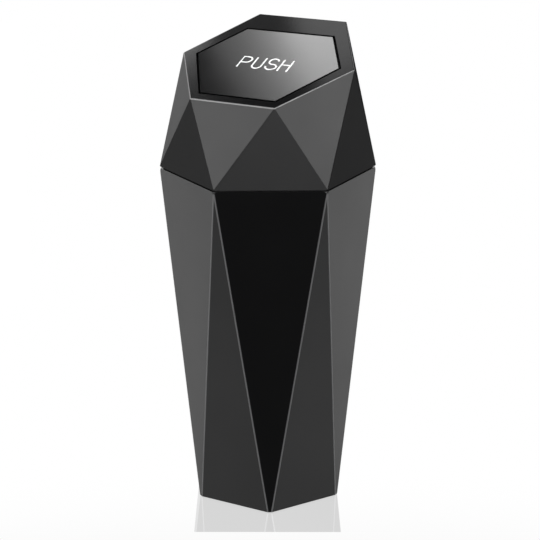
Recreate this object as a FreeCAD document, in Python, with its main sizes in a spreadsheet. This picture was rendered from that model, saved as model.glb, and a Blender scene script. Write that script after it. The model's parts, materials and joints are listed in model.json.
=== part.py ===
import FreeCAD, Part
import math
import os

import Sketcher
from FreeCAD import Placement, Rotation, Vector

# A car trash bin: a tapering faceted bin that stands in a cup holder, and a faceted cap that plugs into its
# mouth. The cap's sloping lid frame holds a spring-loaded flap, which swings inwards when it is pushed.
#
# Millimetres, +Z up. The origin is the middle of the base, and the lid slopes down towards -Y. The belt is
# the widest level, where the cap meets the bin, and its six corners lie at -Y and every 60 degrees round.
# Lid coordinates start where the axis meets the top of the lid: u is across (+X), v runs up the slope and
# w stands out of the lid, so that pieces on the lid are drawn flat and then placed.

SIZES = (
    ("body_height", 142.1, "bin: base to belt"),
    ("belt_radius", 45.0, "bin: axis to a corner of the belt"),
    ("base_reach", 29.7, "bin: axis to a side of the base"),
    ("base_corner_flat", 1.6, "bin: width of the flats that end the inverted facets at the base"),
    ("body_wall", 2.0, "bin: wall"),
    ("floor_thickness", 2.0, "bin: floor"),
    ("foot_depth", 1.0, "bin: recess under the floor"),
    ("foot_width", 4.0, "bin: width of the rim that it stands on"),
    ("bin_edge_radius", 0.7, "bin: rounding of its ridges and base"),
    ("cap_edge_radius", 0.6, "cap: rounding of its ridges and lid"),
    ("seam_gap", 0.7, "open groove between the bin and the cap"),
    ("seam_depth", 1.2, "depth of that groove"),
    ("lid_rise", 45.4, "cap: belt to lid, on the axis"),
    ("lid_slope", 22.7, "cap: slope of the lid in degrees"),
    ("lid_low_half_width", 19.15, "cap: half the width of the lid's low edge"),
    ("lid_low_reach", 32.6, "cap: axis down the slope to the low edge"),
    ("lid_mid_half_width", 39.6, "cap: half the width of the lid across its side corners"),
    ("lid_mid_reach", 1.1, "cap: axis down the slope to the side corners"),
    ("lid_high_half_width", 20.4, "cap: half the width of the lid's high edge"),
    ("lid_high_reach", 33.0, "cap: axis up the slope to the high edge"),
    ("cap_wall", 2.0, "cap: wall and lid frame"),
    ("ledge_thickness", 2.0, "cap: ledge that joins the plug to the wall"),
    ("plug_depth", 10.0, "cap: length of the plug in the bin's mouth"),
    ("plug_wall", 1.6, "cap: wall of the plug"),
    ("plug_clearance", 0.3, "gap between the plug and the bin's mouth"),
    ("flap_low_band", 4.8, "cap: lid frame below the flap"),
    ("flap_low_side_band", 2.1, "cap: the flap's low corners, in from the lid's"),
    ("flap_mid_band", 6.9, "cap: the flap's side corners, in from the lid's"),
    ("flap_high_side_band", 0.4, "cap: the flap's high corners, in from the lid's"),
    ("flap_high_band", 12.5, "cap: lid frame above the flap"),
    ("flap_gap", 0.6, "gap round the flap"),
    ("flap_skin", 1.8, "flap: top plate"),
    ("flap_wall", 1.6, "flap: wall under the plate's edge"),
    ("flap_edge_bevel", 0.12, "flap: bevel of its top edges"),
    ("flange_reach", 1.6, "flap: how far the stop flange stands out"),
    ("flange_side_reach", 0.9, "flap: the same at the side corners, which swing past the cap's walls"),
    ("flange_thickness", 1.5, "flap: stop flange"),
    ("stop_gap", 0.2, "gap between the stop flange and the lid frame"),
    ("rib_thickness", 1.2, "flap: ribs under the plate"),
    ("rib_relief", 0.6, "flap: how far the ribs stay short of its underside"),
    ("arm_reach", 9.0, "flap: foot of each hinge arm, along the plate"),
    ("knuckle_radius", 3.0, "flap: outside of the hinge knuckles"),
    ("knuckle_length", 4.6, "flap: hinge knuckles"),
    ("knuckle_clearance", 1.0, "gap between the knuckles and the lid frame"),
    ("knuckle_side_clearance", 0.3, "gap between each knuckle and its lug"),
    ("lug_radius", 3.2, "cap: outside of the pin lugs"),
    ("lug_thickness", 3.0, "cap: pin lugs"),
    ("lug_spacing", 30.0, "cap: between the pin lugs"),
    ("lug_mouth", 2.1, "cap: slot through which the pin snaps into its lugs"),
    ("pin_diameter", 2.5, "pin"),
    ("pin_bevel", 0.3, "pin: bevelled ends"),
    ("running_clearance", 0.05, "gap round the pin in the knuckles"),
    ("wire_diameter", 0.8, "spring"),
    ("coil_radius", 2.2, "spring: axis to the middle of the wire"),
    ("coil_turns", 6.0, "spring: turns"),
    ("coil_play", 0.1, "spring: gap between turns"),
    ("spring_arm", 14.0, "spring: arm under the flap"),
    ("spring_back_rise", 15.0, "spring: rise of the arm under the lid frame in degrees"),
    ("spring_play", 0.1, "gap between the spring's arms and their seats"),
    ("spring_pad_width", 3.0, "flap: pad that the spring's arm presses on"),
    ("spring_pad_margin", 1.0, "flap: how far that pad runs past the arm's tip"),
    ("spring_notch_width", 2.4, "flap: notch that lets the spring's arm in under the plate"),
)

doc = FreeCAD.newDocument("car_trash_bin")
sheet = doc.addObject("Spreadsheet::Sheet", "sizes")
for row, (alias, value, note) in enumerate(SIZES, start=1):
    sheet.set(f"A{row}", note)
    sheet.set(f"B{row}", str(value))
    sheet.setAlias(f"B{row}", alias)
doc.recompute()

# Places that several pieces share, as expressions on the sheet.
BELT_SIDE = "sizes.belt_radius * cos(30)"
BASE_CORNER = "(sizes.base_reach / cos(30) - sizes.base_corner_flat / 2 * tan(30))"
CAVITY_FLOOR = "sizes.foot_depth + sizes.floor_thickness"
PLUG_INSET = "sizes.body_wall + sizes.plug_clearance"
FLAP_LOW = "(sizes.lid_low_reach - sizes.flap_low_band)"
FLAP_LOW_HALF = "(sizes.lid_low_half_width - sizes.flap_low_side_band)"
FLAP_MID_HALF = "(sizes.lid_mid_half_width - sizes.flap_mid_band)"
FLAP_HIGH = "(sizes.lid_high_reach - sizes.flap_high_band)"
FLAP_HIGH_HALF = "(sizes.lid_high_half_width - sizes.flap_high_side_band)"
FLANGE_TOP = "(sizes.cap_wall + sizes.stop_gap)"
FLAP_DEPTH = f"({FLANGE_TOP} + sizes.flange_thickness)"
HINGE_V = f"({FLAP_HIGH} + sizes.flap_gap + sizes.lug_radius)"
HINGE_DROP = "(sizes.cap_wall + sizes.knuckle_clearance + sizes.knuckle_radius)"
CAP_BELT = "(sizes.body_height + sizes.seam_gap)"
LUG_OUTSIDE = "(sizes.lug_spacing / 2 + sizes.lug_thickness)"
KNUCKLE_OUTSIDE = "(sizes.lug_spacing / 2 - sizes.knuckle_side_clearance)"
KNUCKLE_MIDDLE = f"({KNUCKLE_OUTSIDE} - sizes.knuckle_length / 2)"
SPRING_SEAT = f"({HINGE_DROP} - sizes.coil_radius - sizes.wire_diameter / 2 - sizes.spring_play)"
COIL_PITCH = "(sizes.wire_diameter + sizes.coil_play)"
SPRING_ARM_U = f"({COIL_PITCH} * sizes.coil_turns / 2)"
# How far what cuts runs past the face that it ends at.
OVERRUN = 1
# The turn in degrees from one corner of a hexagon to the next.
CORNER_TURN = 60


def size(alias):
    """A driving dimension as a number."""
    return sheet.get(alias)


def number(expression):
    """The value of an expression on the sheet."""
    return float(sheet.evalExpression(expression))


def bind(item, expressions):
    """Drives an object's properties from the sheet."""
    for name, expression in expressions.items():
        item.setExpression(name, expression)
    return item


def on_the_lid(item):
    """Places an object that is drawn in lid coordinates."""
    item.Placement = Placement(Vector(), Rotation(Vector(1, 0, 0), 1))
    return bind(item, {
        "Placement.Base.z": "sizes.body_height + sizes.lid_rise",
        "Placement.Rotation.Angle": "sizes.lid_slope",
    })


def boolean(kind, name, shapes):
    """A Part::MultiFuse or Part::MultiCommon of several objects."""
    result = doc.addObject(kind, name)
    result.Shapes = shapes
    result.Refine = True
    return result


def cut(name, base, tool):
    result = doc.addObject("Part::Cut", name)
    result.Base, result.Tool = base, tool
    result.Refine = True
    return result


def block(name, corner, sides):
    """A box from its lowest corner and its three sides."""
    box = doc.addObject("Part::Box", name)
    bind(box, dict(zip(("Length", "Width", "Height"), sides)))
    return bind(box, {f"Placement.Base.{axis}": at for axis, at in zip("xyz", corner)})


def bar(name, radius, start, length):
    """A round bar along the hinge axis, from u = start."""
    rod = doc.addObject("Part::Cylinder", name)
    rod.Placement = Placement(Vector(), Rotation(Vector(0, 1, 0), 90))
    return bind(rod, {
        "Radius": radius, "Height": length, "Placement.Base.x": start,
        "Placement.Base.y": HINGE_V, "Placement.Base.z": f"-{HINGE_DROP}",
    })


def closed_sketch(name, corners, body=None):
    """A sketch of straight lines round corners that are given as pairs of expressions. It lies flat, on
    the XY plane of the body that it is made in, if there is one."""
    sketch = (body.newObject if body else doc.addObject)("Sketcher::SketchObject", name)
    if body:
        planes = [plane for plane in body.Origin.OriginFeatures if plane.Role == "XY_Plane"]
        sketch.AttachmentSupport = [(planes[0], "")]
        sketch.MapMode = "FlatFace"
    count = len(corners)
    turns = [2 * math.pi * corner / count for corner in range(count)]
    rough = [Vector(math.cos(turn), math.sin(turn), 0) for turn in turns]
    for corner in range(count):
        sketch.addGeometry(Part.LineSegment(rough[corner], rough[(corner + 1) % count]), False)
    for corner in range(count):
        sketch.addConstraint(Sketcher.Constraint("Coincident", corner, 2, (corner + 1) % count, 1))
    for corner, place in enumerate(corners):
        for kind, at, expression in zip(("DistanceX", "DistanceY"), rough[corner], place):
            index = sketch.addConstraint(Sketcher.Constraint(kind, -1, 1, corner, 1, at))
            sketch.renameConstraint(index, f"{kind}_{corner}")
            sketch.setExpression(f"Constraints.{kind}_{corner}", expression)
    return sketch


def offset(name, outline, distance):
    """An outline moved outwards by a distance, with its corners kept sharp."""
    moved = doc.addObject("Part::Offset2D", name)
    moved.Source = outline
    moved.Join = "Intersection"
    return bind(moved, {"Value": distance})


def extrude(name, outline, direction, start, end):
    """A solid from start to end along a direction."""
    solid = doc.addObject("Part::Extrusion", name)
    solid.Base = outline
    solid.DirMode = "Custom"
    solid.Dir = direction
    solid.Solid = True
    return bind(solid, {"LengthFwd": end, "LengthRev": f"-({start})"})


def rounded(name, blank, kind, amount, chosen):
    """A moulded piece: its blank, with the edges that are chosen rounded or bevelled by an amount."""
    piece = doc.addObject("PartDesign::Body", name)
    piece.Label = name
    piece.BaseFeature = blank
    doc.recompute()
    edges = [f"Edge{index}" for index, edge in enumerate(blank.Shape.Edges, start=1) if chosen(edge)]
    base = piece.Tip
    softened = piece.newObject(kind, f"{name}_edges")
    softened.Base = (base, edges)
    bind(softened, {"Radius" if kind.endswith("Fillet") else "Size": amount})
    piece.Tip = softened
    return piece


def edge_of(form, belt):
    """Picks the edges that a blank keeps from the form that it is cut from, but for those at its belt."""
    def chosen(edge):
        middle = edge.CenterOfMass
        kept = any(outer.distToShape(Part.Vertex(middle))[0] < 0.001 for outer in form.Shape.Edges)
        return kept and abs(middle.z - number(belt)) > 0.001
    return chosen


def facet_pair(name, turn, base, belt, low, high, inset):
    """A wedge between two opposite facets, turned to face them. They lie base from the axis at the bin's
    base and belt from it at the belt, moved inwards by inset, and end at the levels low and high."""
    lean = f"atan(({belt} - {base}) / sizes.body_height)"
    reach = {level: f"({base} + ({belt} - {base}) * ({level}) / sizes.body_height - ({inset}) / cos({lean}))"
             for level in (low, high)}
    wedge = doc.addObject("Part::Wedge", name)
    wedge.Placement = Placement(Vector(), Rotation(turn, 0, 90))
    return bind(wedge, {
        "Ymin": low, "Xmin": f"-{reach[low]}", "Xmax": reach[low],
        "Ymax": high, "X2min": f"-{reach[high]}", "X2max": reach[high],
        "Zmin": "-2 * sizes.belt_radius", "Zmax": "2 * sizes.belt_radius",
        "Z2min": "-2 * sizes.belt_radius", "Z2max": "2 * sizes.belt_radius",
    })


def diamond(name, low, high, inset="0"):
    """The bin's faceted form: six wedges in common, three with inverted facets, which narrow to the flats
    at the base, and three with upright ones, which narrow to the belt's corners."""
    wedges = []
    for turn in range(0, 180, CORNER_TURN):
        wedges.append(facet_pair(f"{name}_inverted_{turn}", turn, BASE_CORNER, BELT_SIDE, low, high, inset))
        wedges.append(facet_pair(f"{name}_upright_{turn}", turn + CORNER_TURN / 2, "sizes.base_reach",
                                 "sizes.belt_radius", low, high, inset))
    return boolean("Part::MultiCommon", name, wedges)


def lid_point(u, v):
    """A point of the lid's top in the frame of the whole bin."""
    slope = math.radians(size("lid_slope"))
    level = size("body_height") + size("lid_rise")
    return Vector(u, v * math.cos(slope), level + v * math.sin(slope))


def cap_solid():
    """The cap's outer form: twelve triangles between the belt and the sloping lid."""
    belt = [Vector(0, -size("belt_radius"), number(CAP_BELT))]
    for _ in range(5):
        belt.append(Rotation(Vector(0, 0, 1), CORNER_TURN).multVec(belt[-1]))
    right = [
        (size("lid_low_half_width"), -size("lid_low_reach")),
        (size("lid_mid_half_width"), -size("lid_mid_reach")),
        (size("lid_high_half_width"), size("lid_high_reach")),
    ]
    left = [(-u, v) for u, v in reversed(right)]
    lid = [lid_point(u, v) for u, v in right + left]
    rings = [belt, lid]
    for corner in range(6):
        rings.append([belt[corner], belt[(corner + 1) % 6], lid[corner]])
        rings.append([lid[corner], lid[corner - 1], belt[corner]])
    faces = [Part.Face(Part.makePolygon(ring + ring[:1])) for ring in rings]
    solid = Part.Solid(Part.Shell(faces))
    if solid.Volume < 0:
        solid.reverse()
    return solid


def hollow_solid(outside):
    """The room inside the cap: its form with every face moved in by the wall, and the belt by the ledge."""
    room = outside.copy()
    span = 4 * size("belt_radius") + 4 * size("lid_rise")
    for face in outside.Faces:
        outward = face.normalAt(0, 0)
        depth = size("ledge_thickness") if outward.z < -0.99 else size("cap_wall")
        plane = Part.makePlane(span, span, Vector(), outward)
        plane.translate(face.CenterOfMass - plane.CenterOfMass)
        room = room.cut(plane.extrude(outward * -depth))
    return room


# The bin: an even-walled faceted form on a standing rim. It is open at the belt, where its edge stays crisp.
bin_form = diamond("bin_form", "0", "sizes.body_height")
bin_cavity = diamond("bin_cavity", CAVITY_FLOOR, "sizes.body_height", "sizes.body_wall")
foot_recess = doc.addObject("Part::Prism", "foot_recess")
foot_recess.Polygon = 6
bind(foot_recess, {
    "Circumradius": "(sizes.base_reach - sizes.foot_width) / cos(30)", "Height": "sizes.foot_depth",
})
bin_hollows = boolean("Part::MultiFuse", "bin_hollows", [bin_cavity, foot_recess])
bin_body = rounded("bin_body", cut("bin_blank", bin_form, bin_hollows), "PartDesign::Fillet",
                   "sizes.bin_edge_radius", edge_of(bin_form, "sizes.body_height"))

# The flap's outline, which its plate, its stop flange and the window in the lid frame all follow.
flap_outline = closed_sketch("flap_outline", [
    (FLAP_LOW_HALF, f"-{FLAP_LOW}"), (FLAP_MID_HALF, "-sizes.lid_mid_reach"), (FLAP_HIGH_HALF, FLAP_HIGH),
    (f"-{FLAP_HIGH_HALF}", FLAP_HIGH), (f"-{FLAP_MID_HALF}", "-sizes.lid_mid_reach"),
    (f"-{FLAP_LOW_HALF}", f"-{FLAP_LOW}"),
])
DOWN = Vector(0, 0, -1)

# The cap: a faceted shell with a sloping lid frame, pin lugs under the frame's high band, and a plug that
# follows the bin's mouth. A shoulder round the plug rests on the bin's rim and leaves a shadow groove.
cap_form = doc.addObject("Part::Feature", "cap_form")
cap_form.Shape = cap_solid()
cap_room = doc.addObject("Part::Feature", "cap_room")
cap_room.Shape = hollow_solid(cap_form.Shape)
cap_walls = cut("cap_walls", cap_form, cap_room)
shoulder = doc.addObject("Part::Prism", "shoulder")
shoulder.Polygon = 6
shoulder.Placement = Placement(Vector(), Rotation(Vector(0, 0, 1), CORNER_TURN / 2))
bind(shoulder, {
    "Circumradius": f"({BELT_SIDE} - sizes.seam_depth) / cos(30)",
    "Height": "sizes.seam_gap + sizes.ledge_thickness / 2", "Placement.Base.z": "sizes.body_height",
})
plug = diamond("plug", "(sizes.body_height - sizes.plug_depth)",
               f"({CAP_BELT} + sizes.ledge_thickness / 2)", PLUG_INSET)
plug_bore = diamond("plug_bore", f"(sizes.body_height - sizes.plug_depth - {OVERRUN})",
                    f"({CAP_BELT} + sizes.ledge_thickness + {OVERRUN})", f"{PLUG_INSET} + sizes.plug_wall")

lug_parts = []
for side, start in (("left", f"-{LUG_OUTSIDE}"), ("right", "sizes.lug_spacing / 2")):
    lug_parts.append(block(
        f"{side}_lug_stem", (start, f"{HINGE_V} - sizes.lug_radius", f"-{HINGE_DROP}"),
        ("sizes.lug_thickness", "2 * sizes.lug_radius", f"{HINGE_DROP} - sizes.cap_wall / 2")))
    lug_parts.append(bar(f"{side}_lug_eye", "sizes.lug_radius", start, "sizes.lug_thickness"))
lugs = on_the_lid(boolean("Part::MultiFuse", "lugs", lug_parts))

window = extrude("window", offset("window_outline", flap_outline, "sizes.flap_gap"), DOWN,
                 f"-{OVERRUN}", f"sizes.cap_wall + {OVERRUN}")
lug_bore = bar("lug_bore", "sizes.pin_diameter / 2", f"-{LUG_OUTSIDE}", f"2 * {LUG_OUTSIDE}")
lug_slot = block("lug_slot", (f"-{LUG_OUTSIDE}", f"{HINGE_V} - sizes.lug_mouth / 2",
                              f"-{HINGE_DROP} - sizes.lug_radius"),
                 (f"2 * {LUG_OUTSIDE}", "sizes.lug_mouth", "sizes.lug_radius"))
lid_cuts = on_the_lid(boolean("Part::MultiFuse", "lid_cuts", [window, lug_bore, lug_slot]))

cap_solids = boolean("Part::MultiFuse", "cap_solids", [cap_walls, shoulder, plug, lugs])
cap_cuts = boolean("Part::MultiFuse", "cap_cuts", [plug_bore, lid_cuts])
cap_shell = rounded("cap_shell", cut("cap_blank", cap_solids, cap_cuts), "PartDesign::Fillet",
                    "sizes.cap_edge_radius", edge_of(cap_form, CAP_BELT))

# The flap: a plate with a stepped edge that stops under the lid frame, ribbed below, on two hinge arms.
plate = extrude("plate", flap_outline, DOWN, "0", FLAP_DEPTH)
flange_blank = extrude("flange_blank", offset("flange_outline", flap_outline, "sizes.flange_reach"), DOWN,
                       FLANGE_TOP, FLAP_DEPTH)
flange_half = f"({FLAP_MID_HALF} + sizes.flange_side_reach)"
flange_low = f"({FLAP_LOW} + sizes.flange_reach)"
flange_field = block("flange_field", (f"-{flange_half}", f"-{flange_low}", f"-{FLAP_DEPTH}"),
                     (f"2 * {flange_half}", f"{flange_low} + {FLAP_HIGH}", FLAP_DEPTH))
flange = boolean("Part::MultiCommon", "flange", [flange_blank, flange_field])
underside = extrude("underside", offset("underside_outline", flap_outline, "-sizes.flap_wall"), DOWN,
                    "sizes.flap_skin", f"{FLAP_DEPTH} + {OVERRUN}")
tray = cut("tray", boolean("Part::MultiFuse", "stepped_plate", [plate, flange]), underside)

arm_profile = closed_sketch("arm_profile", [
    (HINGE_V, f"sizes.knuckle_radius - {HINGE_DROP}"), (FLAP_HIGH, f"sizes.knuckle_radius - {HINGE_DROP}"),
    (FLAP_HIGH, "-sizes.flap_skin / 2"), (f"{FLAP_HIGH} - sizes.arm_reach", "-sizes.flap_skin / 2"),
    (f"{FLAP_HIGH} - sizes.arm_reach", f"-{FLAP_DEPTH}"),
    (HINGE_V, f"-{HINGE_DROP} - sizes.knuckle_radius"),
])
arm_profile.Placement = Placement(Vector(), Rotation(Vector(1, 1, 1), 120))
flap_solids = [tray]
for side, sign in (("left", -1), ("right", 1)):
    middle = f"{sign} * {KNUCKLE_MIDDLE}"
    start = f"{middle} - sizes.knuckle_length / 2"
    flap_solids += [
        extrude(f"{side}_arm", arm_profile, Vector(1, 0, 0), start, f"{middle} + sizes.knuckle_length / 2"),
        bar(f"{side}_knuckle", "sizes.knuckle_radius", start, "sizes.knuckle_length"),
        block(f"{side}_rib",
              (f"{middle} - sizes.rib_thickness / 2", f"-{FLAP_LOW}", f"sizes.rib_relief - {FLAP_DEPTH}"),
              ("sizes.rib_thickness", f"{FLAP_LOW} + {FLAP_HIGH}",
               f"{FLAP_DEPTH} - sizes.rib_relief - sizes.flap_skin / 2")),
    ]
pad_length = f"(sizes.spring_arm - {HINGE_V} + {FLAP_HIGH})"
flap_solids.append(block(
    "spring_pad",
    (f"{SPRING_ARM_U} - sizes.spring_pad_width / 2",
     f"{FLAP_HIGH} - {pad_length} - sizes.spring_pad_margin", f"-{SPRING_SEAT}"),
    ("sizes.spring_pad_width", f"{pad_length} + sizes.spring_pad_margin",
     f"{SPRING_SEAT} - sizes.flap_skin / 2")))
knuckle_bore = bar("knuckle_bore", "sizes.pin_diameter / 2 + sizes.running_clearance",
                   f"-{LUG_OUTSIDE}", f"2 * {LUG_OUTSIDE}")
spring_notch = block(
    "spring_notch",
    (f"{SPRING_ARM_U} - sizes.spring_notch_width / 2", f"{FLAP_HIGH} - sizes.flap_wall - {OVERRUN}",
     f"-{FLAP_DEPTH} - {OVERRUN}"),
    ("sizes.spring_notch_width", f"sizes.flap_wall + 2 * {OVERRUN}",
     f"{FLAP_DEPTH} + {OVERRUN} - {SPRING_SEAT}"))
flap_blank = cut("flap_blank", boolean("Part::MultiFuse", "flap_solids", flap_solids),
                 boolean("Part::MultiFuse", "flap_cuts", [knuckle_bore, spring_notch]))
push_flap = rounded("push_flap", flap_blank, "PartDesign::Chamfer", "sizes.flap_edge_bevel",
                    lambda edge: edge.BoundBox.ZMin > -0.01)
on_the_lid(push_flap)

# The pin: a steel rod with bevelled ends, which snaps into the two lugs.
hinge_pin = doc.addObject("PartDesign::Body", "hinge_pin")
hinge_pin.Label = "hinge_pin"
pin_radius = "sizes.pin_diameter / 2"
pin_profile = closed_sketch("pin_profile", [
    (f"-{LUG_OUTSIDE}", "0"), (LUG_OUTSIDE, "0"),
    (LUG_OUTSIDE, f"{pin_radius} - sizes.pin_bevel"), (f"{LUG_OUTSIDE} - sizes.pin_bevel", pin_radius),
    (f"sizes.pin_bevel - {LUG_OUTSIDE}", pin_radius), (f"-{LUG_OUTSIDE}", f"{pin_radius} - sizes.pin_bevel"),
], hinge_pin)
bind(pin_profile, {"AttachmentOffset.Base.y": HINGE_V, "AttachmentOffset.Base.z": f"-{HINGE_DROP}"})
pin_turned = hinge_pin.newObject("PartDesign::Revolution", "pin_turned")
pin_turned.Profile = pin_profile
pin_turned.ReferenceAxis = (pin_profile, ["H_Axis"])
pin_turned.Angle = 360
on_the_lid(hinge_pin)

# The spring: steel wire in a coil round the pin. The round wire is drawn with flats, to keep its faces few.
WIRE_FLATS = 6


def spring_solid():
    """The spring's wire in lid coordinates. Both arms leave over the top of the coil: one runs forward under
    the flap, and the other rises to the underside of the lid frame."""
    rise = size("spring_back_rise")
    length = number(COIL_PITCH) * (size("coil_turns") - rise / 360)
    coil = Part.makeHelix(number(COIL_PITCH), length, size("coil_radius"))
    coil.Placement = Placement(
        Vector(-length / 2, number(HINGE_V), -number(HINGE_DROP)),
        Rotation(Vector(1, 0, 0), 90 + rise) * Rotation(Vector(1, 1, 1), 120))
    first, last = coil.Edges[0], coil.Edges[-1]
    start, end = first.valueAt(first.FirstParameter), last.valueAt(last.LastParameter)
    start_along = first.tangentAt(first.FirstParameter)
    end_along = last.tangentAt(last.LastParameter)
    wire_radius = size("wire_diameter") / 2
    climb = -size("cap_wall") - size("spring_play") - wire_radius - start.z
    back_tip = start - start_along * (climb / math.sin(math.radians(rise)))
    front_tip = end + end_along * size("spring_arm")
    path = Part.Wire([Part.makeLine(back_tip, start), *coil.Edges, Part.makeLine(end, front_tip)])
    turn = Rotation(start_along, 360 / WIRE_FLATS)
    spoke = start_along.cross(Vector(1, 0, 0)).normalize() * wire_radius
    corners = [back_tip + spoke]
    for _ in range(WIRE_FLATS):
        spoke = turn.multVec(spoke)
        corners.append(back_tip + spoke)
    return path.makePipeShell([Part.makePolygon(corners)], True, True)


return_spring = doc.addObject("Part::Feature", "return_spring")
return_spring.Label = "return_spring"
return_spring.Shape = spring_solid()
on_the_lid(return_spring)

doc.recompute()
for item in doc.Objects:
    if {"Invalid", "Error"} & set(item.State):
        raise RuntimeError(f"{item.Name} failed: {item.State}")
pieces = (bin_body, cap_shell, push_flap, hinge_pin, return_spring)
for piece in pieces:
    if piece.Shape.isNull() or not piece.Shape.isValid() or len(piece.Shape.Solids) != 1:
        raise RuntimeError(f"{piece.Label} is not one valid solid")

os.makedirs("parts", exist_ok=True)
for piece in pieces:
    piece.Shape.exportStep(f"parts/{piece.Label}.step")
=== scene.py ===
import functools
import json
import math

import bpy
from mathutils import Matrix, Vector


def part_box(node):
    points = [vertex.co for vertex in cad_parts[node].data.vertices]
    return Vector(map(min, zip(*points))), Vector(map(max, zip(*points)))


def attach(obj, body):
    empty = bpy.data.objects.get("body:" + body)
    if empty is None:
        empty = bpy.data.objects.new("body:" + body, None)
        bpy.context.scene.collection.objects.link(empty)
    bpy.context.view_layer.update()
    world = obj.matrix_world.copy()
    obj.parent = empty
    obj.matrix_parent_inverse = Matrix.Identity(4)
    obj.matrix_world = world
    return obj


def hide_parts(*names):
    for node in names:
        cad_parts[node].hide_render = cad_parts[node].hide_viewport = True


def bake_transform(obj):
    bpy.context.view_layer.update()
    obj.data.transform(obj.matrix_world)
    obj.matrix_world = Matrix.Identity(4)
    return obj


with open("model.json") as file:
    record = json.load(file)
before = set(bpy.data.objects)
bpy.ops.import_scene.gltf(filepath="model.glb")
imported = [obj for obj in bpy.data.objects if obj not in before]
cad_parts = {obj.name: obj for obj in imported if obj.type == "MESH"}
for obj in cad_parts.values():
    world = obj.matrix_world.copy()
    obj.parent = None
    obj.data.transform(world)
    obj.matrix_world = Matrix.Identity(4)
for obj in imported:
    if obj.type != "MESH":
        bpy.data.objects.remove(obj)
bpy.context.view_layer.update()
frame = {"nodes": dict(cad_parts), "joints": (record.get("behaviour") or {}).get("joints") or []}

nodes = frame["nodes"]


# The bin: one injection moulding in black plastic. Its facets are satin from the tool, and a paler colour is
# painted along its ridges as a highlight.
BLACK = (0.008, 0.008, 0.0085, 1)
# Painted highlight: the paler colour along the ridges.
RIDGE_HIGHLIGHT = (0.24, 0.24, 0.245, 1)
# How rough the satin is, and how fine and strong its slow changes of gloss and the grain of the tool are.
SATIN = 0.34
CLOUD_SCALE = 45.0
CLOUD_GLOSS = 0.06
GRAIN_SCALE = 2600.0
GRAIN_STRENGTH = 0.06
GRAIN_DEPTH = 0.0001
# How deep under a neighbouring facet the painted highlight along a ridge starts to fade, and ends.
RIDGE_LINE = (0.00008, 0.00024)
# A broad facet's least area in square metres, and the most that its direction may point up or down. Faces
# whose directions agree better than the last value lie in one plane.
LEAST_FACET = 0.0001
MOST_TILT = 0.6
SAME_DIRECTION = 0.999


class Signal:
    """One output of a node tree, which takes part in arithmetic: an expression adds its Math nodes."""

    def __init__(self, tree, socket=None):
        self.tree = tree
        self.socket = socket

    def node(self, kind, settings=None, sockets=None, output=0):
        """A node of any kind. Its settings come first, then the numbers or signals of its sockets, as a list
        where one socket takes several."""
        made = self.tree.nodes.new(kind)
        for name, value in (settings or {}).items():
            setattr(made, name, value)
        for name, value in (sockets or {}).items():
            for given in value if isinstance(value, list) else [value]:
                if isinstance(given, Signal):
                    self.tree.links.new(given.socket, made.inputs[name])
                else:
                    made.inputs[name].default_value = given
        return Signal(self.tree, made.outputs[output])

    def worked(self, operation, *values):
        """A Math node on values that are numbers or signals."""
        return self.node("ShaderNodeMath", {"operation": operation}, dict(enumerate(values)))

    def __add__(self, other):
        return self.worked("ADD", self, other)

    def __sub__(self, other):
        return self.worked("SUBTRACT", self, other)

    def __rsub__(self, other):
        return self.worked("SUBTRACT", other, self)

    def __mul__(self, other):
        return self.worked("MULTIPLY", self, other)

    __radd__ = __add__
    __rmul__ = __mul__

    def least(self, other):
        return self.worked("MINIMUM", self, other)

    def greatest(self, other):
        return self.worked("MAXIMUM", self, other)

    def ramp(self, low, high):
        """0 below low and 1 above high, with a smooth step between."""
        return self.node("ShaderNodeMapRange", {"interpolation_type": "SMOOTHSTEP"},
                         {"Value": self, "From Min": low, "From Max": high})

    def dot(self, vector):
        """The dot product of this vector and another."""
        return self.node("ShaderNodeVectorMath", {"operation": "DOT_PRODUCT"}, {0: self, 1: vector},
                         output="Value")

    def mixed(self, first, second):
        """A colour between two others: the first where this signal is 0, and the second where it is 1."""
        return self.node("ShaderNodeMix", {"data_type": "RGBA"}, {0: self, 6: first, 7: second}, output=2)


def finished(name, build):
    """A new material, whose shader is what build makes of a Signal on its empty node tree."""
    made = bpy.data.materials.new(name)
    made.use_nodes = True
    made.node_tree.nodes.clear()
    surface = build(Signal(made.node_tree))
    output = made.node_tree.nodes.new("ShaderNodeOutputMaterial")
    made.node_tree.links.new(surface.socket, output.inputs["Surface"])
    return made


def dress(node, finish):
    """Gives a CAD node its finish."""
    node.data.materials.clear()
    node.data.materials.append(finish)


def add_plane(planes, face):
    """Adds the plane of a face, as its direction and its reach, unless it is among the planes already."""
    if all(face.normal.dot(direction) <= SAME_DIRECTION for direction, _ in planes):
        planes.append((face.normal.copy(), face.normal.dot(face.center)))


def broad_facets(node):
    """The planes of a node's broad facets that look away from the bin's axis."""
    planes = []
    for face in sorted(node.data.polygons, key=lambda face: face.area, reverse=True):
        outwards = face.normal.x * face.center.x + face.normal.y * face.center.y > 0
        if face.area > LEAST_FACET and outwards and abs(face.normal.z) < MOST_TILT:
            add_plane(planes, face)
    return planes


def depth_under(place, plane):
    """How deep a place lies under a plane."""
    direction, reach = plane
    return reach - place.dot(direction)


def black_plastic(place, colour, roughness, shaded=0.0):
    """Black moulded plastic with a fine grain and slow changes of gloss. Where the shaded mask paints shade,
    it is a black metal to the shader, which reflects nothing, so the painted shade is black."""
    cloud = place.node("ShaderNodeTexNoise", {}, {"Vector": place, "Scale": CLOUD_SCALE, "Detail": 3.0})
    grain = place.node("ShaderNodeTexNoise", {}, {"Vector": place, "Scale": GRAIN_SCALE, "Detail": 1.0})
    bump = place.node("ShaderNodeBump", {},
                      {"Height": grain, "Strength": GRAIN_STRENGTH, "Distance": GRAIN_DEPTH})
    return place.node("ShaderNodeBsdfPrincipled", {}, {
        "Base Color": colour, "Metallic": shaded, "Roughness": roughness + (cloud - 0.5) * CLOUD_GLOSS,
        "Normal": bump,
    })


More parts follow.
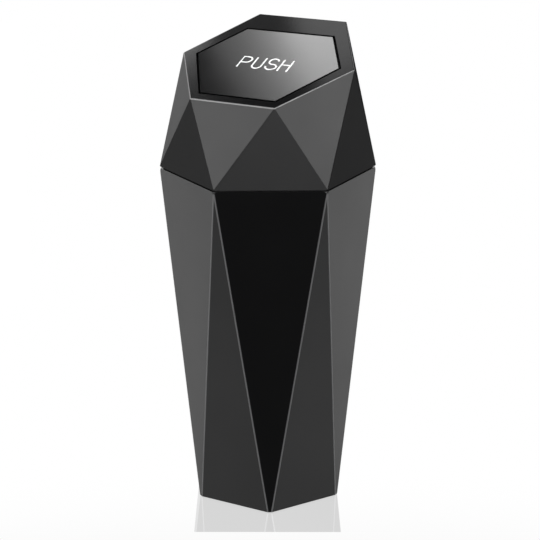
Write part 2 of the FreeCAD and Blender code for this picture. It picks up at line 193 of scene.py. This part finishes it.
def bin_plastic(start):
    """The bin's plastic, with a painted highlight along its ridges, the places next to a second facet too."""
    place = start.node("ShaderNodeTexCoord", output="Object")
    nearest, second, *others = [depth_under(place, facet) for facet in broad_facets(nodes["bin_body"])]
    nearest, second = nearest.least(second), nearest.greatest(second)
    for depth in others:
        second = second.least(nearest.greatest(depth))
        nearest = nearest.least(depth)
    # A highlight painted paler along each ridge.
    line = 1 - second.ramp(*RIDGE_LINE)
    return black_plastic(place, line.mixed(BLACK, RIDGE_HIGHLIGHT), SATIN)


dress(nodes["bin_body"], finished("bin_black_plastic", bin_plastic))


# The cap: the same black plastic, moulded in one piece with its lid frame, pin lugs and plug, and pushed into
# the bin's mouth. The frame is polished more than the facets, and a fine bright line is painted along its rim
# as a highlight. The walls of its window stay matt, and painted shade makes them and the frame's edges beside
# them black where they face the gap round the flap.
# Painted highlight: the bright colour of the line along the rim.
RIM_HIGHLIGHT = (0.48, 0.48, 0.48, 1)
# How rough the polished frame and the matt walls are.
FRAME_GLOSS = 0.22
MATT = 0.95
# How deep under the lid and a facet the painted highlight along the rim starts to fade, and ends.
RIM_LINE = (0.00014, 0.0003)
# How nearly a surface faces as the lid does where the frame's polish starts, and is full.
LID_FACING = (0.98, 0.99)
# How deep under the lid the polish ends and the matt walls begin, and how far inside the facets they are.
MATT_DEPTH = (0.00003, 0.0001)
WINDOW_INSET = (0.002, 0.0022)
# How far from the edge of the window or of the flap the painted shade of their gap fades, and how deep it
# reaches.
GAP_SHADE = (0.00018, 0.00028)
GAP_DEPTH = (0.002, 0.0022)
# The lid is the largest face that looks up by more than the first value. A wall of the gap leans less than
# the second from square to it, and ends less than the third under it.
LEAST_UPWARDS = 0.8
WALL_LEAN = 0.1
WALL_TOP = 0.0002

lid_face = max((face for face in nodes["cap_shell"].data.polygons if face.normal.z > LEAST_UPWARDS),
               key=lambda face: face.area)
lid_direction = lid_face.normal.copy()
lid_reach = lid_direction.dot(lid_face.center)


def gap_walls(node):
    """The planes of a node's walls that stand square to the lid and end at it."""
    planes = []
    for face in node.data.polygons:
        top = max(lid_direction.dot(node.data.vertices[corner].co) for corner in face.vertices)
        if abs(face.normal.dot(lid_direction)) < WALL_LEAN and top > lid_reach - WALL_TOP:
            add_plane(planes, face)
    return planes


def gap_shade(from_gap, under_lid):
    """A mask of painted shade on the walls of the gap and on the edges beside it."""
    return (1 - from_gap.ramp(*GAP_SHADE)) * (1 - under_lid.ramp(*GAP_DEPTH))


def cap_plastic(start):
    """The cap's plastic: a glossier lid frame inside a painted rim highlight, and matt walls in the window.
    """
    place = start.node("ShaderNodeTexCoord", output="Object")
    facing = start.node("ShaderNodeTexCoord", output="Normal")
    under_lid = depth_under(place, (lid_direction, lid_reach))
    under_facet = functools.reduce(
        Signal.least, [depth_under(place, facet) for facet in broad_facets(nodes["cap_shell"])])
    # A bright highlight painted along the rim.
    rim = 1 - under_lid.greatest(under_facet).ramp(*RIM_LINE)
    gloss = SATIN - facing.dot(lid_direction).ramp(*LID_FACING) * (SATIN - FRAME_GLOSS)
    inside = under_lid.ramp(*MATT_DEPTH) * under_facet.ramp(*WINDOW_INSET)
    # The window's walls look inwards, so a place on the frame is deepest under the wall that it is next to.
    from_gap = functools.reduce(
        Signal.greatest, [depth_under(place, wall) for wall in gap_walls(nodes["cap_shell"])])
    # Painted shade: black on the window's walls and on the frame's edges beside the gap.
    shaded = gap_shade(from_gap, under_lid)
    roughness = gloss + inside.greatest(shaded) * (MATT - SATIN)
    return black_plastic(place, rim.mixed(BLACK, RIM_HIGHLIGHT), roughness, shaded)


dress(nodes["cap_shell"], finished("cap_black_plastic", cap_plastic))


# The pin: a drawn steel rod, cut to length and bevelled at both ends. It is snapped into the two lugs of the
# cap from below, and the flap's two knuckles and the spring's coil turn on it.
DULL_STEEL = (0.42, 0.42, 0.43, 1)
BRIGHT_STEEL = (0.62, 0.62, 0.61, 1)
# The streaks that drawing leaves: how much rougher they are, and how many times longer than broad.
STREAK_ROUGHNESS = 0.15
STREAK_LENGTH = 20
PIN_ROUGHNESS = 0.22
PIN_STREAKS = 3000.0


def drawn_steel(name, roughness, streaks):
    """Bright steel with fine rings or streaks of polish, so many to the metre along X."""
    def steel(start):
        place = start.node("ShaderNodeTexCoord", output="Object")
        along = start.node("ShaderNodeMapping", {}, {
            "Vector": place, "Scale": (streaks, streaks / STREAK_LENGTH, streaks / STREAK_LENGTH),
        })
        streak = start.node("ShaderNodeTexNoise", {}, {"Vector": along, "Scale": 1.0, "Detail": 2.0})
        return start.node("ShaderNodeBsdfPrincipled", {}, {
            "Base Color": streak.mixed(DULL_STEEL, BRIGHT_STEEL), "Metallic": 1.0,
            "Roughness": roughness + streak * STREAK_ROUGHNESS,
        })
    return finished(name, steel)


dress(nodes["hinge_pin"], drawn_steel("pin_steel", PIN_ROUGHNESS, PIN_STREAKS))


# The spring: hard-drawn steel wire wound in six close turns round the pin. One arm presses the flap shut from
# below, and the other leans on the underside of the lid frame.
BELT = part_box("bin_body")[1].z
LID_RISE = 0.0454
LID_SLOPE = math.radians(22.7)
FRAME_THICKNESS = 0.002
WIRE_RADIUS = 0.0004
WIRE_SIDES = 12
WIRE_ROUGHNESS = 0.28
WIRE_STREAKS = 900.0
COIL_RADIUS = 0.0022
COIL_PITCH = 0.0009
COIL_TURNS = 6
COIL_STEPS = 40
BACK_RISE = math.radians(15)
FRONT_ARM = 0.014
SPRING_PLAY = 0.0001

# The wire's places are in the lid's own frame: X along the pin, Y up the slope and Z out of the lid.
lid = Matrix.Translation((0, 0, BELT + LID_RISE)) @ Matrix.Rotation(LID_SLOPE, 4, "X")
swing = next(joint for joint in frame["joints"] if joint["name"] == "flap_swing")
pin_middle = Vector(swing["pos_m"])
hinge = lid.inverted() @ pin_middle
wound_turns = COIL_TURNS - BACK_RISE / math.tau
coil_length = COIL_PITCH * wound_turns
half_coil = Vector((coil_length / 2, 0, 0))
back_foot = hinge - half_coil + Vector(
    (0, -COIL_RADIUS * math.sin(BACK_RISE), COIL_RADIUS * math.cos(BACK_RISE)))
climb = -FRAME_THICKNESS - SPRING_PLAY - WIRE_RADIUS - back_foot.z
back_tip = back_foot + Vector((0, climb / math.tan(BACK_RISE), climb))
front_foot = hinge + half_coil + Vector((0, 0, COIL_RADIUS))
front_tip = front_foot - Vector((0, FRONT_ARM, 0))


def grown(name, build, sizes, finish, outline=None):
    """A piece that its own geometry nodes make, as a plain mesh. build turns a Signal on the node tree, a
    Signal for each size and one for the geometry of the outline, if there is one, into the piece."""
    tree = bpy.data.node_groups.new(name, "GeometryNodeTree")
    tree.interface.new_socket("Geometry", in_out="INPUT", socket_type="NodeSocketGeometry")
    tree.interface.new_socket("Geometry", in_out="OUTPUT", socket_type="NodeSocketGeometry")
    keys = {size: tree.interface.new_socket(size, in_out="INPUT", socket_type="NodeSocketFloat").identifier
            for size in sizes}
    given = tree.nodes.new("NodeGroupInput")
    start = Signal(tree)
    named = {size: Signal(tree, given.outputs[size]) for size in sizes}
    solid = build(start, named, Signal(tree, given.outputs["Geometry"]))
    plain = start.node("GeometryNodeRealizeInstances", {}, {"Geometry": solid})
    painted = start.node("GeometryNodeSetMaterial", {}, {"Geometry": plain, "Material": finish})
    made = tree.nodes.new("NodeGroupOutput")
    tree.links.new(painted.socket, made.inputs["Geometry"])

    host = bpy.data.objects.new(name, outline or bpy.data.meshes.new(name))
    bpy.context.scene.collection.objects.link(host)
    modifier = host.modifiers.new(name, "NODES")
    modifier.node_group = tree
    for size, key in keys.items():
        modifier[key] = sizes[size]
    mesh = bpy.data.meshes.new_from_object(host.evaluated_get(bpy.context.evaluated_depsgraph_get()))
    bpy.data.objects.remove(host)
    mesh.name = name
    piece = bpy.data.objects.new(name, mesh)
    bpy.context.scene.collection.objects.link(piece)
    return piece


def wound(start, sizes, _):
    """The spring's wire: a coil along X, whose two ends run on into straight arms."""
    # The tree's spiral climbs along Z. This lays it along X and turns its start to the back arm's foot.
    turned = Matrix.Rotation(math.pi / 2 + BACK_RISE, 3, "X") @ Matrix.Rotation(math.tau / 3, 3, (1, 1, 1))
    coil = start.node("GeometryNodeCurveSpiral", {}, {
        "Resolution": COIL_STEPS, "Rotations": sizes["turns"], "Height": sizes["length"],
        "Start Radius": sizes["coil radius"], "End Radius": sizes["coil radius"],
    })
    placed = start.node("GeometryNodeTransform", {}, {
        "Geometry": coil, "Translation": hinge - half_coil, "Rotation": turned.to_euler(),
    })
    arms = [start.node("GeometryNodeCurvePrimitiveLine", {}, {"Start": first, "End": last})
            for first, last in ((back_tip, back_foot), (front_foot, front_tip))]
    path = start.node("GeometryNodeJoinGeometry", {}, {"Geometry": [placed, *arms]})
    section = start.node("GeometryNodeCurvePrimitiveCircle", {},
                         {"Resolution": WIRE_SIDES, "Radius": sizes["wire radius"]})
    return start.node("GeometryNodeCurveToMesh", {},
                      {"Curve": path, "Profile Curve": section, "Fill Caps": True})


spring = grown("return_spring_wire", wound, {
    "turns": wound_turns, "length": coil_length, "coil radius": COIL_RADIUS, "wire radius": WIRE_RADIUS,
}, drawn_steel("spring_steel", WIRE_ROUGHNESS, WIRE_STREAKS))
spring.data.shade_smooth()
spring.data.transform(lid)
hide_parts("return_spring")
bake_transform(spring)


# The flap: a black moulding that hangs on the pin inside the lid frame and swings down when it is pushed. Its
# top is highly polished, and its sides and knuckles stay matt from the mould. Shade is painted black on its
# edges beside the gap.
FLAP_GLOSS = 0.2


def flap_plastic(start):
    """The flap's plastic, polished on top and matt below it, with painted shade beside the gap."""
    place = start.node("ShaderNodeTexCoord", output="Object")
    under_lid = depth_under(place, (lid_direction, lid_reach))
    # The flap's walls look outwards, so a place on it is least deep under the wall that it is next to.
    from_gap = functools.reduce(
        Signal.least, [depth_under(place, wall) for wall in gap_walls(nodes["push_flap"])])
    # Painted shade: black on the flap's walls and on its edges beside the gap.
    shaded = gap_shade(from_gap, under_lid)
    roughness = FLAP_GLOSS + under_lid.ramp(*MATT_DEPTH).greatest(shaded) * (MATT - FLAP_GLOSS)
    return black_plastic(place, BLACK, roughness, shaded)


dress(nodes["push_flap"], finished("flap_black_plastic", flap_plastic))


# The legend: the word PUSH in plain thin capitals, pad-printed in white ink on the flap's lower half, where a
# finger presses it.
STROKE = 0.0007
INK_THICKNESS = 0.00003
THIN_INK = (0.86, 0.86, 0.86, 1)
FULL_INK = (0.95, 0.95, 0.95, 1)
INK_SCALE = 1500.0
INK_ROUGHNESS = 0.45
# The letters' middle lines in millimetres on the lid: straight runs as points, and arcs as a middle, two
# radii and the angles from which and to which they run.
MILLIMETRE = 0.001
LETTER_TOP, LETTER_BAR, LETTER_FOOT = 0.6, -2.9, -7.4
LETTERS = (
    [(-11.0, LETTER_FOOT), (-11.0, 0.3), ((-8.8, -1.7), (2.1, 2.0), 90, -90), (-11.0, -3.7)],
    [(-4.75, LETTER_TOP), ((-2.7, -5.15), (2.05, 2.05), 180, 360), (-0.65, LETTER_TOP)],
    [((3.5, -1.35), (2.0, 1.95), 15, 270), ((3.75, -5.2), (2.35, 1.9), 90, -190)],
    [(7.6, LETTER_TOP), (7.6, LETTER_FOOT)],
    [(11.8, LETTER_TOP), (11.8, LETTER_FOOT)],
    [(7.6, LETTER_BAR), (11.8, LETTER_BAR)],
)
ARC_STEPS = 24


def letter_lines(letters):
    """A curve of the letters' middle lines, in metres."""
    lines = bpy.data.curves.new("letter_lines", "CURVE")
    lines.dimensions = "3D"
    for letter in letters:
        points = []
        for stretch in letter:
            if len(stretch) == 2:
                points.append(stretch)
                continue
            (u, v), (wide, high), first, last = stretch
            for step in range(ARC_STEPS + 1):
                turn = math.radians(first + (last - first) * step / ARC_STEPS)
                points.append((u + wide * math.cos(turn), v + high * math.sin(turn)))
        spline = lines.splines.new("POLY")
        spline.points.add(len(points) - 1)
        for point, (u, v) in zip(spline.points, points):
            point.co = (u * MILLIMETRE, v * MILLIMETRE, 0, 1)
    return lines


def printed(start, sizes, lines):
    """A flat line of ink along each middle line."""
    section = start.node("GeometryNodeCurvePrimitiveQuadrilateral", {},
                         {"Width": sizes["stroke"], "Height": sizes["thickness"]})
    return start.node("GeometryNodeCurveToMesh", {},
                      {"Curve": lines, "Profile Curve": section, "Fill Caps": True})


def ink(start):
    """White ink, a little uneven in cover."""
    place = start.node("ShaderNodeTexCoord", output="Object")
    cover = start.node("ShaderNodeTexNoise", {}, {"Vector": place, "Scale": INK_SCALE, "Detail": 2.0})
    return start.node("ShaderNodeBsdfPrincipled", {},
                      {"Base Color": cover.mixed(THIN_INK, FULL_INK), "Roughness": INK_ROUGHNESS})


legend = grown("push_legend", printed, {"stroke": STROKE, "thickness": INK_THICKNESS},
               finished("white_ink", ink), letter_lines(LETTERS))
legend.data.shade_flat()
legend.data.transform(lid @ Matrix.Translation((0, 0, INK_THICKNESS / 2)))
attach(legend, "flap")


# The studio: a polished white table in an even white surround. The bin's reflection stops at the table's
# front edge. Black plastic shows only what it reflects, so most softboxes stand where one group of facets
# reflects them towards the camera, and the last ones light what shows from behind and from above.
CAMERA_AZIMUTH = 28.51
WHITE = (1, 1, 1, 1)
TABLE_REACH = 6.0
TABLE_EDGE = 0.0513
TABLE_POLISH = 0.9
TABLE_ROUGHNESS = 0.02
# The surround's strength, and the heights, 1 being straight up, over which it begins and ends.
SURROUND_LEVEL = 0.4
SURROUND_START = (0, 0.02)
SURROUND_END = (0.42, 0.62)
TABLE_GLOW = 1 - TABLE_POLISH * SURROUND_LEVEL


def round_the_bin(azimuth, distance, height):
    """A point at an azimuth from -Y, a distance from the bin's axis and a height."""
    turn = math.radians(azimuth)
    return Vector((distance * math.sin(turn), -distance * math.cos(turn), height))


def polished_white(start):
    """White that is evenly lit and mirrors the bin under its polish."""
    glow = start.node("ShaderNodeEmission", {}, {"Color": WHITE, "Strength": TABLE_GLOW})
    polish = start.node("ShaderNodeBsdfGlossy", {},
                        {"Color": (TABLE_POLISH,) * 3 + (1,), "Roughness": TABLE_ROUGHNESS})
    return start.node("ShaderNodeAddShader", {}, {0: glow, 1: polish})


table_mesh = bpy.data.meshes.new("table")
table_mesh.from_pydata([
    (-TABLE_REACH, -TABLE_EDGE, 0), (TABLE_REACH, -TABLE_EDGE, 0),
    (TABLE_REACH, TABLE_REACH, 0), (-TABLE_REACH, TABLE_REACH, 0),
], [], [(0, 1, 2, 3)])
table_mesh.transform(Matrix.Rotation(math.radians(CAMERA_AZIMUTH), 4, "Z"))
table_mesh.materials.append(finished("polished_white_table", polished_white))
table = bpy.data.objects.new("table", table_mesh)
bpy.context.scene.collection.objects.link(table)
# The softboxes stand for what the table would throw back onto the bin.
table.visible_diffuse = False
table.visible_glossy = False
table.visible_shadow = False

world = bpy.data.worlds.new("studio")
bpy.context.scene.world = world
world.use_nodes = True
world.node_tree.nodes.clear()
sky = Signal(world.node_tree)
direction = sky.node("ShaderNodeTexCoord", output="Generated")
level = sky.node("ShaderNodeSeparateXYZ", {}, {"Vector": direction}, output="Z")
ring = (1 - sky.worked("ABSOLUTE", level).ramp(*SURROUND_END)) * SURROUND_LEVEL
surround = level.ramp(*SURROUND_START) * ring
# Past the table's edge the camera sees the tone of the bare table.
bare_table = ring * TABLE_POLISH + TABLE_GLOW
seen = sky.node("ShaderNodeLightPath", output="Is Camera Ray")
brightness = surround + seen * (bare_table - surround)
background = sky.node("ShaderNodeBackground", {}, {"Color": WHITE, "Strength": brightness})
world_output = world.node_tree.nodes.new("ShaderNodeOutputWorld")
world.node_tree.links.new(background.socket, world_output.inputs["Surface"])

BODY_MIDDLE = (0, 0, 0.12)
FLAP_MIDDLE = (0, 0, 0.1875)
LID_RIGHT = (0.026, 0.014, 0.194)
LID_LEFT = (-0.036, -0.001, 0.187)
# A softbox with no pieces of its own lights everything.
ALL = ()
BIN = (nodes["bin_body"],)
CAP = (nodes["cap_shell"],)
FLAP = (nodes["push_flap"],)
# Each softbox: the only pieces that it lights; the place that it faces; its azimuth from the camera's and its
# elevation, seen from that place; its distance, side and power.
SOFTBOXES = {
    "low_left": (ALL, BODY_MIDDLE, -62, -32, 1.2, 0.6, 1.07),
    "low_right": (ALL, BODY_MIDDLE, 68, -32, 1.2, 0.6, 1.1),
    "wide_left": (BIN, BODY_MIDDLE, -120, -22, 1.2, 0.6, 1.28),
    "wide_right": (BIN, BODY_MIDDLE, 128, -22, 1.2, 0.6, 0.99),
    "front": (CAP, BODY_MIDDLE, 4, 6, 1.2, 0.5, 1.04),
    "high_left": (ALL, BODY_MIDDLE, -62, 32, 1.2, 0.6, 3.7),
    "high_right": (ALL, BODY_MIDDLE, 46, 22, 1.2, 0.5, 3.05),
    "side_left": (ALL, BODY_MIDDLE, -112, -4, 1.2, 0.5, 0.3),
    "side_right": (ALL, BODY_MIDDLE, 122, -10, 1.2, 0.5, 0.175),
    "far_left": (ALL, BODY_MIDDLE, -155, -2, 1.2, 0.5, 0.475),
    "flap_wide": (FLAP, FLAP_MIDDLE, -178, 46, 0.6, 0.2, 0.2402),
    "flap_near": (FLAP, LID_RIGHT, -172, 46, 0.25, 0.08, 0.0559),
    "flap_bright": (FLAP, LID_RIGHT, -160, 46, 0.25, 0.08, 0.0199),
    "frame_left": (CAP, LID_LEFT, -160, 40, 0.15, 0.03, 0.0074),
    "frame_wide": (CAP, LID_LEFT, -170, 40, 0.15, 0.07, 0.0028),
    "frame_right": (CAP, LID_RIGHT, -172, 46, 0.15, 0.05, 0.0091),
    "legend": ((legend,), FLAP_MIDDLE, 0, 70, 0.6, 0.2, 4.0),
    "overhead": (BIN + CAP + FLAP, BODY_MIDDLE, 0, 78, 1.2, 0.8, 4.0),
    "behind": (BIN, BODY_MIDDLE, 180, -5, 1.2, 0.8, 7.0),
    "below": (BIN + CAP, BODY_MIDDLE, 0, -90, 1.2, 1.4, 3.5),
}
for name, (lit, faced, azimuth, elevation, distance, side, power) in SOFTBOXES.items():
    light = bpy.data.lights.new(name, "AREA")
    light.shape = "SQUARE"
    light.size = side
    light.energy = power
    softbox = bpy.data.objects.new(name, light)
    bpy.context.scene.collection.objects.link(softbox)
    rise = math.radians(elevation)
    away = round_the_bin(CAMERA_AZIMUTH + azimuth, distance * math.cos(rise), distance * math.sin(rise))
    softbox.location = Vector(faced) + away
    softbox.rotation_euler = away.to_track_quat("Z", "Y").to_euler()
    softbox.visible_camera = False
    if lit:
        receivers = bpy.data.collections.new(f"lit_by_{name}")
        for piece in lit:
            receivers.objects.link(piece)
        softbox.light_linking.receiver_collection = receivers

bpy.context.scene.view_settings.view_transform = "Standard"


# The camera stands where the photograph was taken from: a long lens a little above the lid, on the side of
# the lid's low edge, with the whole bin in view. Its place was found by fitting the bin's corners.
CAMERA_DISTANCE = 0.6683
CAMERA_ABOVE_BELT = 0.1737
CAMERA_DOWN = 18.118
CAMERA_TURN = 0.075
CAMERA_ROLL = 0.08
NEAREST_SEEN = 0.01
LENS_PIXELS = 1656.7
PICTURE_PIXELS = 540

camera = bpy.data.objects.new("camera", bpy.data.cameras.new("camera"))
bpy.context.scene.collection.objects.link(camera)
bpy.context.scene.camera = camera
camera.data.lens = LENS_PIXELS / PICTURE_PIXELS * camera.data.sensor_width
camera.data.clip_start = NEAREST_SEEN
camera.matrix_world = (
    Matrix.Translation(round_the_bin(CAMERA_AZIMUTH, CAMERA_DISTANCE, BELT + CAMERA_ABOVE_BELT))
    @ Matrix.Rotation(math.radians(CAMERA_AZIMUTH - CAMERA_TURN), 4, "Z")
    @ Matrix.Rotation(math.radians(90 - CAMERA_DOWN), 4, "X")
    @ Matrix.Rotation(math.radians(CAMERA_ROLL), 4, "Z"))
